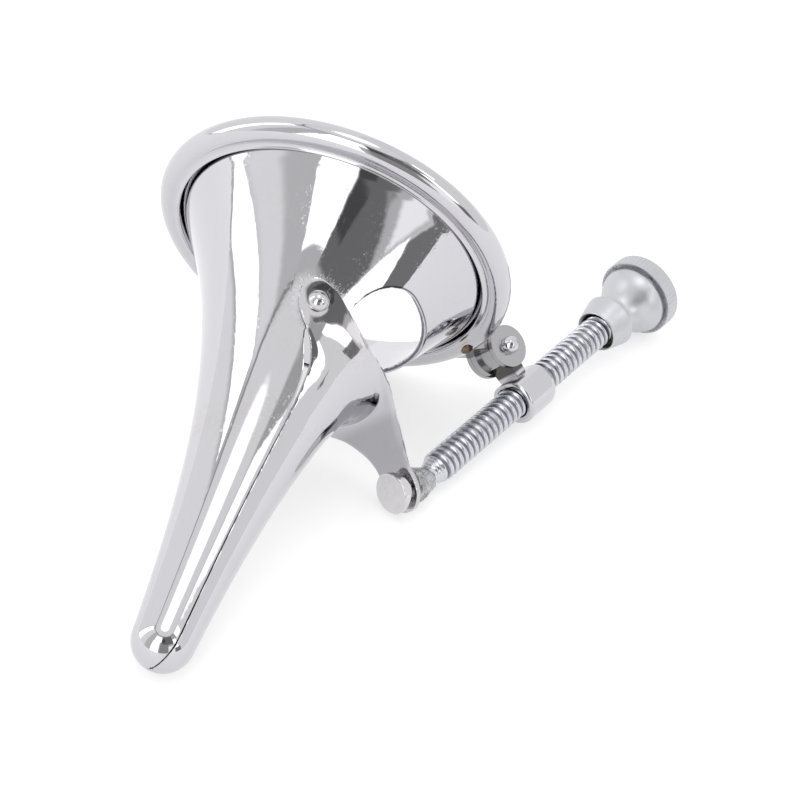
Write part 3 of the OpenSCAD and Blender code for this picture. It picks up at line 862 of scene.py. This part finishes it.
def swivelSleeve():
    w = sleeve
    flatAt = screwFrame.to_3x3().inverted() @ toPivot
    flatTurn = atan2(flatAt.y, flatAt.x)

    def section(t):
        facing = max(0.0, cos(t - flatTurn))
        return (w["radius"] ** -8 + (facing / w["flat"]) ** 8) ** (-1 / 8)

    def roundedEnd(at, inward, drop, long):
        turns = [pi / 2 * k / w["endSteps"] for k in range(w["endSteps"] + 1)]
        return [(at + inward * long * (1 - sin(t)), drop * (1 - cos(t))) for t in turns]

    near = roundedEnd(w["start"], 1, *w["startRound"])[::-1]
    far = roundedEnd(w["end"], -1, *w["endRound"])
    profile = [("bore", w["start"] + 0.35), ("lip", w["start"] + 0.02)] + near + \
        [((near[-1][0] * (5 - k) + far[0][0] * k) / 5, 0.0) for k in range(1, 5)] + far + \
        [("lip", w["end"] - 0.02), ("bore", w["end"] - 0.35)]
    points, rows = [], len(profile)
    for first, second in profile:
        for k in range(w["around"]):
            t = 2 * pi * k / w["around"]
            if first in ("bore", "lip"):
                r, z = w["bore"] + (0.22 if first == "lip" else 0), second
            else:
                r, z = section(t) - second, first
            points.append(screwFrame @ Vector((r * cos(t), r * sin(t), z)))
    faces = gridFaces(rows, w["around"], closed=True)
    last, around = (rows - 1) * w["around"], w["around"]
    faces += [(last + k, k, (k + 1) % around, last + (k + 1) % around) for k in range(around)]
    up = degrees(atan2(-toPivot.y, -toPivot.x))
    outline = arc(screw["pivot"], w["lugRadius"], up + 122, up + 238, 26)
    reach = screw["offset"] - sleeve["radius"] + 1.0
    across = Vector((-toPivot.y, toPivot.x, 0))
    ends = [pivot - toPivot * reach + across * (w["waistHalf"] * q) for q in (-1, 1)]
    waist = [pivot - toPivot * (reach * 0.45) + across * (w["waistHalf"] * q) for q in (-1, 1)]
    start = Vector((*outline[0], 0))
    if (waist[0] - start).length > (waist[1] - start).length:
        waist, ends = waist[::-1], ends[::-1]
    loop = outline + [tuple(waist[1].xy), tuple(ends[1].xy), tuple(ends[0].xy), tuple(waist[0].xy)]
    lug = roughen(prism(loop, -w["lugHalf"], w["lugHalf"], 0.4), 0.12, 1.1, 9.0)
    obj = outward(rawObject("swivelSleeve", *gather((points, faces), lug)))
    return finished(obj, "sleeve", ["swivel_sleeve"], sleeveChrome, flats=True)


swivelSleeve()

print("threaded rod")
rod = dict(start=-30.0, end=43.4, radius=3.25, depth=0.6, pitch=1.65, around=56, perTurn=12,
           grooveEdge=0.2, crestEdge=0.72, runIn=0.3, runOut=0.8,
           shank=[(0, -34.9), (2.1, -34.9), (2.0, -33.2), (2.02, -32.3), (2.3, -32.0), (2.32, -31.8),
                  (2.2, -31.7), (2.45, -31.3), (2.62, -31.15), (2.62, -30.95), (2.48, -30.85),
                  (2.75, -30.55), (2.92, -30.4), (2.92, -30.2), (2.5, -30.1), (2.5, -29.4), (0, -29.4)])
rodInputs = ("Start", "End", "Radius", "Depth", "Pitch", "Groove Edge", "Crest Edge", "Run In", "Run Out")


def threadTree():
    tree, given, made = groupTree(
        "screwThread", "Geometry",
        {**settingsFor(rod, rodInputs), "Around": 56, "Rows": 480, "Finish": "Material"},
        {"Thread": "Geometry"})
    length = minus(tree, given["End"], given["Start"])
    sheet = formNode(tree, "GeometryNodeMeshGrid", {
        "Size X": length, "Size Y": 2 * pi, "Vertices X": given["Rows"], "Vertices Y": given["Around"]})
    x, turn, _ = splitPlace(tree, tree.nodes.new("GeometryNodeInputPosition").outputs[0])
    middle = times(tree, maths(tree, "ADD", given["Start"], given["End"]), 0.5)
    along = maths(tree, "ADD", x, middle)
    phase = maths(tree, "FRACT", minus(tree, maths(tree, "DIVIDE", along, given["Pitch"]),
                                       maths(tree, "DIVIDE", turn, 2 * pi)))
    peak = minus(tree, 1.0, maths(tree, "ABSOLUTE", timesPlus(tree, phase, 2.0, -1.0)))
    ridge = eased(tree, peak, given["Groove Edge"], given["Crest Edge"])
    fromStart = minus(tree, along, given["Start"])
    toEnd = minus(tree, given["End"], along)
    ridge = times(tree, ridge, eased(tree, fromStart, 0.0, given["Run In"]))
    ridge = times(tree, ridge, eased(tree, toEnd, 0.0, given["Run Out"]))
    core = minus(tree, given["Radius"], given["Depth"])
    radius = timesPlus(tree, ridge, given["Depth"], core)
    for gap in (fromStart, toEnd):
        radius = times(tree, radius, maths(tree, "MULTIPLY", gap, 10000.0, clamp=True))
    bent = bentRound(tree, sheet.outputs[0], 2, along, radius, turn)
    joined = formNode(tree, "GeometryNodeMergeByDistance", {"Geometry": bent, "Distance": 0.001})
    finishTree(tree, joined.outputs[0], given["Finish"], made["Thread"])
    return tree


def threadedRod():
    w = rod
    rows = int((w["end"] - w["start"]) / w["pitch"] * w["perTurn"])
    obj = runTree(rawObject("threadedRod", [], []), threadTree(), {
        **settingsFor(w, rodInputs), "Around": w["around"] + 1, "Rows": rows, "Finish": steel})
    points, faces = lathe(rounded(w["shank"], 0.12, 2), Matrix.Identity(4), 72)
    addPart(obj, roughen((points, faces), 0.05, 1.3, 4.0))
    outward(obj, 1e-4)
    return finished(obj, "screw", ["threaded_rod"], steel, screwFrame)


threadedRod()

print("foot and tail button")
foot = dict(around=80, profile=[(0, 0), (3.0, 0), (3.5, 0.4), (3.6, 1.0), (3.4, 1.9), (3.0, 2.9), (2.65, 3.8),
                                (2.4, 4.6), (2.15, 5.3), (1.6, 5.8), (0, 5.9)])
button = dict(radius=4.12, thick=1.2, pin=1.5, back=3.15, reach=6.9, skirt=0.9)


def rodFoot():
    part = lathe(rounded(foot["profile"], 0.4, 3), standAt(eye + pinDir * 1.85, pinDir), foot["around"])
    rough = roughen(roughen(part, 0.22, 1.3, 1.0), 0.1, 0.5, 2.0)
    obj = outward(rawObject("rodFoot", *rough), 1e-5)
    return finished(obj, "screw", ["rod_foot"], castGrey)


def tailButton():
    b = button
    profile = [(0, 0), (b["radius"], 0), (b["radius"], b["thick"]), (b["pin"], b["thick"] + 0.75),
               (b["pin"], b["reach"]), (0, b["reach"])]
    part = lathe(rounded(profile, 0.3, 4), standAt(eye - pinDir * b["back"], pinDir), 144)
    for p in part[0]:  # the back is cut away where the eye rocks on the pin
        off = p - eye + pinDir * b["back"]
        deep = off.dot(pinDir)
        wide = (off - pinDir * deep).length
        if wide > b["pin"] + 0.3 and deep > 0.75:
            p += pinDir * b["skirt"] * (off.z / wide) ** 4
    obj = outward(rawObject("tailButton", *roughen(part, 0.04, 3.0, 6.0)), 1e-5)
    return finished(obj, "screw", ["tail_button"], buttonChrome, flats=True)


rodFoot()
tailButton()

print("thumb nut")
thumb = dict(start=26.0, around=160, bore=3.36,
             collar=[(4.3, 0), (4.5, 0.3), (5.6, 4.6), (5.7, 5.0), (5.4, 5.3)],
             neck=[(4.1, 5.4), (3.95, 6.0), (4.0, 7.4), (4.25, 8.1)],
             dome=[(4.7, 9.0), (5.3, 10.0), (6.0, 11.0), (6.6, 12.0), (7.0, 13.0), (7.25, 13.8), (7.3, 14.3)],
             flange=[(7.1, 14.55), (7.1, 18.2), (6.7, 18.5), (5.2, 18.45)],
             ridges=52, ringRadius=7.31, ridgeRadius=1.0, middle=16.55, width=3.5, sides=12)
knurlInputs = ("Ridges", "Ring Radius", "Ridge Radius", "Width", "Middle", "Sides")


def knurlTree():  # round ridges along the flange
    tree, given, made = groupTree(
        "knurledEdge", "Geometry",
        {**settingsFor(thumb, knurlInputs), "Finish": "Material"}, {"Knurl": "Geometry"})
    half = times(tree, given["Width"], 0.5)
    low = formNode(tree, "ShaderNodeCombineXYZ", {2: minus(tree, given["Middle"], half)})
    high = formNode(tree, "ShaderNodeCombineXYZ", {2: maths(tree, "ADD", given["Middle"], half)})
    line = formNode(tree, "GeometryNodeCurvePrimitiveLine", {"Start": low.outputs[0], "End": high.outputs[0]})
    steps = formNode(tree, "GeometryNodeResampleCurve", {"Curve": line.outputs[0], "Count": 13})
    circle = formNode(tree, "GeometryNodeCurvePrimitiveCircle", {"Resolution": given["Sides"],
                                                                 "Radius": given["Ridge Radius"]})
    ridge = formNode(tree, "GeometryNodeCurveToMesh", {
        "Curve": steps.outputs[0], "Profile Curve": circle.outputs[0], "Fill Caps": True})
    ring = formNode(tree, "GeometryNodeMeshCircle", {
        "Vertices": given["Ridges"], "Radius": given["Ring Radius"]})
    spread = formNode(tree, "GeometryNodeInstanceOnPoints", {
        "Points": ring.outputs[0], "Instance": ridge.outputs[0]})
    finishTree(tree, spread.outputs[0], given["Finish"], made["Knurl"])
    return tree


def thumbNut():
    w = thumb
    bore = w["bore"]
    inside = [(bore, 1.0), (bore + 0.85, 0.12)]
    outside = [inside[-1], *w["collar"], *w["neck"], *w["dome"], *w["flange"],
               (bore + 0.7, 18.4), (bore, 17.8)]
    body = lathe(inside[:1] + rounded(outside, 0.2, 3) + inside[:1], Matrix.Identity(4), w["around"])
    obj = runTree(rawObject("thumbNut", [], []), knurlTree(), {
        **settingsFor(w, knurlInputs), "Finish": nickel})
    addPart(obj, body)
    outward(obj)
    return finished(obj, "nut", ["thumb_nut"], nickel,
                    standAt(screwFoot + screwDir * w["start"], screwDir))


thumbNut()

print("table")
table = dict(half=3.0, color=(0.50, 0.50, 0.505), roughness=0.7, lift=0.58)


def paleTable():
    h = table["half"]
    obj = rawObject("table", [(-h, -h, 0), (h, -h, 0), (h, h, 0), (-h, h, 0)], [(0, 1, 2, 3)])
    mat = bpy.data.materials.new("paleTable")
    mat.use_nodes = True
    tree = mat.node_tree
    shader = tree.nodes["Principled BSDF"]
    shader.inputs["Base Color"].default_value = (*table["color"], 1)
    shader.inputs["Roughness"].default_value = table["roughness"]
    shader.inputs["Emission Color"].default_value = (1, 1, 1, 1)
    rays = tree.nodes.new("ShaderNodeLightPath").outputs
    seen = maths(tree, "MAXIMUM", maths(tree, "MAXIMUM", rays["Is Camera Ray"], rays["Is Glossy Ray"]),
                 rays["Is Transmission Ray"])
    plug(tree, times(tree, seen, table["lift"]), shader.inputs["Emission Strength"])
    obj.data.materials.append(mat)


paleTable()

print("light tent")
# bearing from and to, height from and to, all in degrees, grey level, softness of the edge
studioPanels = dict(
    ceiling=(-180, 180, 60, 90, 0.80, 3), topLight=(-200, 200, 77, 95, 1.15, 4),
    leftWall=(-180, -92, -5, 60, 0.82, 4), paleWall=(-72, -48, -5, 60, 0.82, 12),
    greyWall=(-48, -24, -5, 60, 0.68, 10), ceilingEdge=(-110, -25, 58.5, 60.5, 0.5, 1.5),
    sideBox=(-89.5, -71.5, 1, 54, 1.2, 1.2), frontBoxLow=(-26.5, 1, 0, 35, 1.2, 1.2),
    frontBox=(-24.5, 13, 37, 54, 1.2, 1.2), behindCamera=(8, 60, 30, 57, 0.39, 3),
    camera=(9, 24, 37, 49, 0.27, 3), lowBehindCamera=(5, 38, -5, 30, 0.5, 4),
    paleGap=(37, 58, -5, 24, 0.9, 3), rightWall=(60, 180, -5, 60, 0.79, 5),
    rightGrey=(60, 84, 42, 60, 0.6, 4), rightBox=(60, 73, 14, 43, 1.2, 1.5),
    rightLow=(61, 80, -5, 14, 0.42, 1.5), farBox=(84, 99, 42, 57, 1.2, 1.5))
tentLevel = dict(base=0.7, gamma=2.2, chromeShare=0.575)


def lightTent():
    world = bpy.data.worlds.new("lightTent")
    bpy.context.scene.world = world
    world.use_nodes = True
    tree = world.node_tree
    where = tree.nodes.new("ShaderNodeTexCoord").outputs["Generated"]
    x, y, z = splitPlace(tree, where)
    bearing = times(tree, maths(tree, "ARCTAN2", y, x), 180 / pi)
    height = times(tree, maths(tree, "ARCSINE", z), 180 / pi)
    level = tentLevel["base"]
    for name, (a0, a1, e0, e1, grey, soft) in studioPanels.items():
        s = soft / 2
        mask = times(tree, band(tree, bearing, a0 - s, a0 + s, a1 + s, a1 - s),
                     band(tree, height, e0 - s, e0 + s, e1 + s, e1 - s))
        mix = tree.nodes.new("ShaderNodeMix")
        mix.label = name
        plug(tree, mask, mix.inputs[0])
        plug(tree, level, mix.inputs[2])
        plug(tree, grey ** tentLevel["gamma"] / tentLevel["chromeShare"], mix.inputs[3])
        level = mix.outputs[0]
    tree.links.new(level, tree.nodes["Background"].inputs["Color"])


lightTent()

print("camera")
view = dict(place=(352.68, -206.67, 472.00), right=(-0.31670, 0.74329, 0.58926),
            up=(-0.78369, -0.55501, 0.27889), back=(0.53434, -0.37347, 0.75828), lens=144, sensor=36)


def photoCamera():
    turn = layDown.to_3x3().normalized()
    axes = [turn @ Vector(view[key]) for key in ("right", "up", "back")]
    data = bpy.data.cameras.new("photoCamera")
    data.lens, data.sensor_width = view["lens"], view["sensor"]
    cam = bpy.data.objects.new("photoCamera", data)
    stand = Matrix.Translation(layDown @ Vector(view["place"]))
    cam.matrix_world = stand @ Matrix(axes).transposed().to_4x4()
    bpy.context.scene.collection.objects.link(cam)
    bpy.context.scene.camera = cam


photoCamera()
bpy.context.scene.view_settings.view_transform = "Standard"
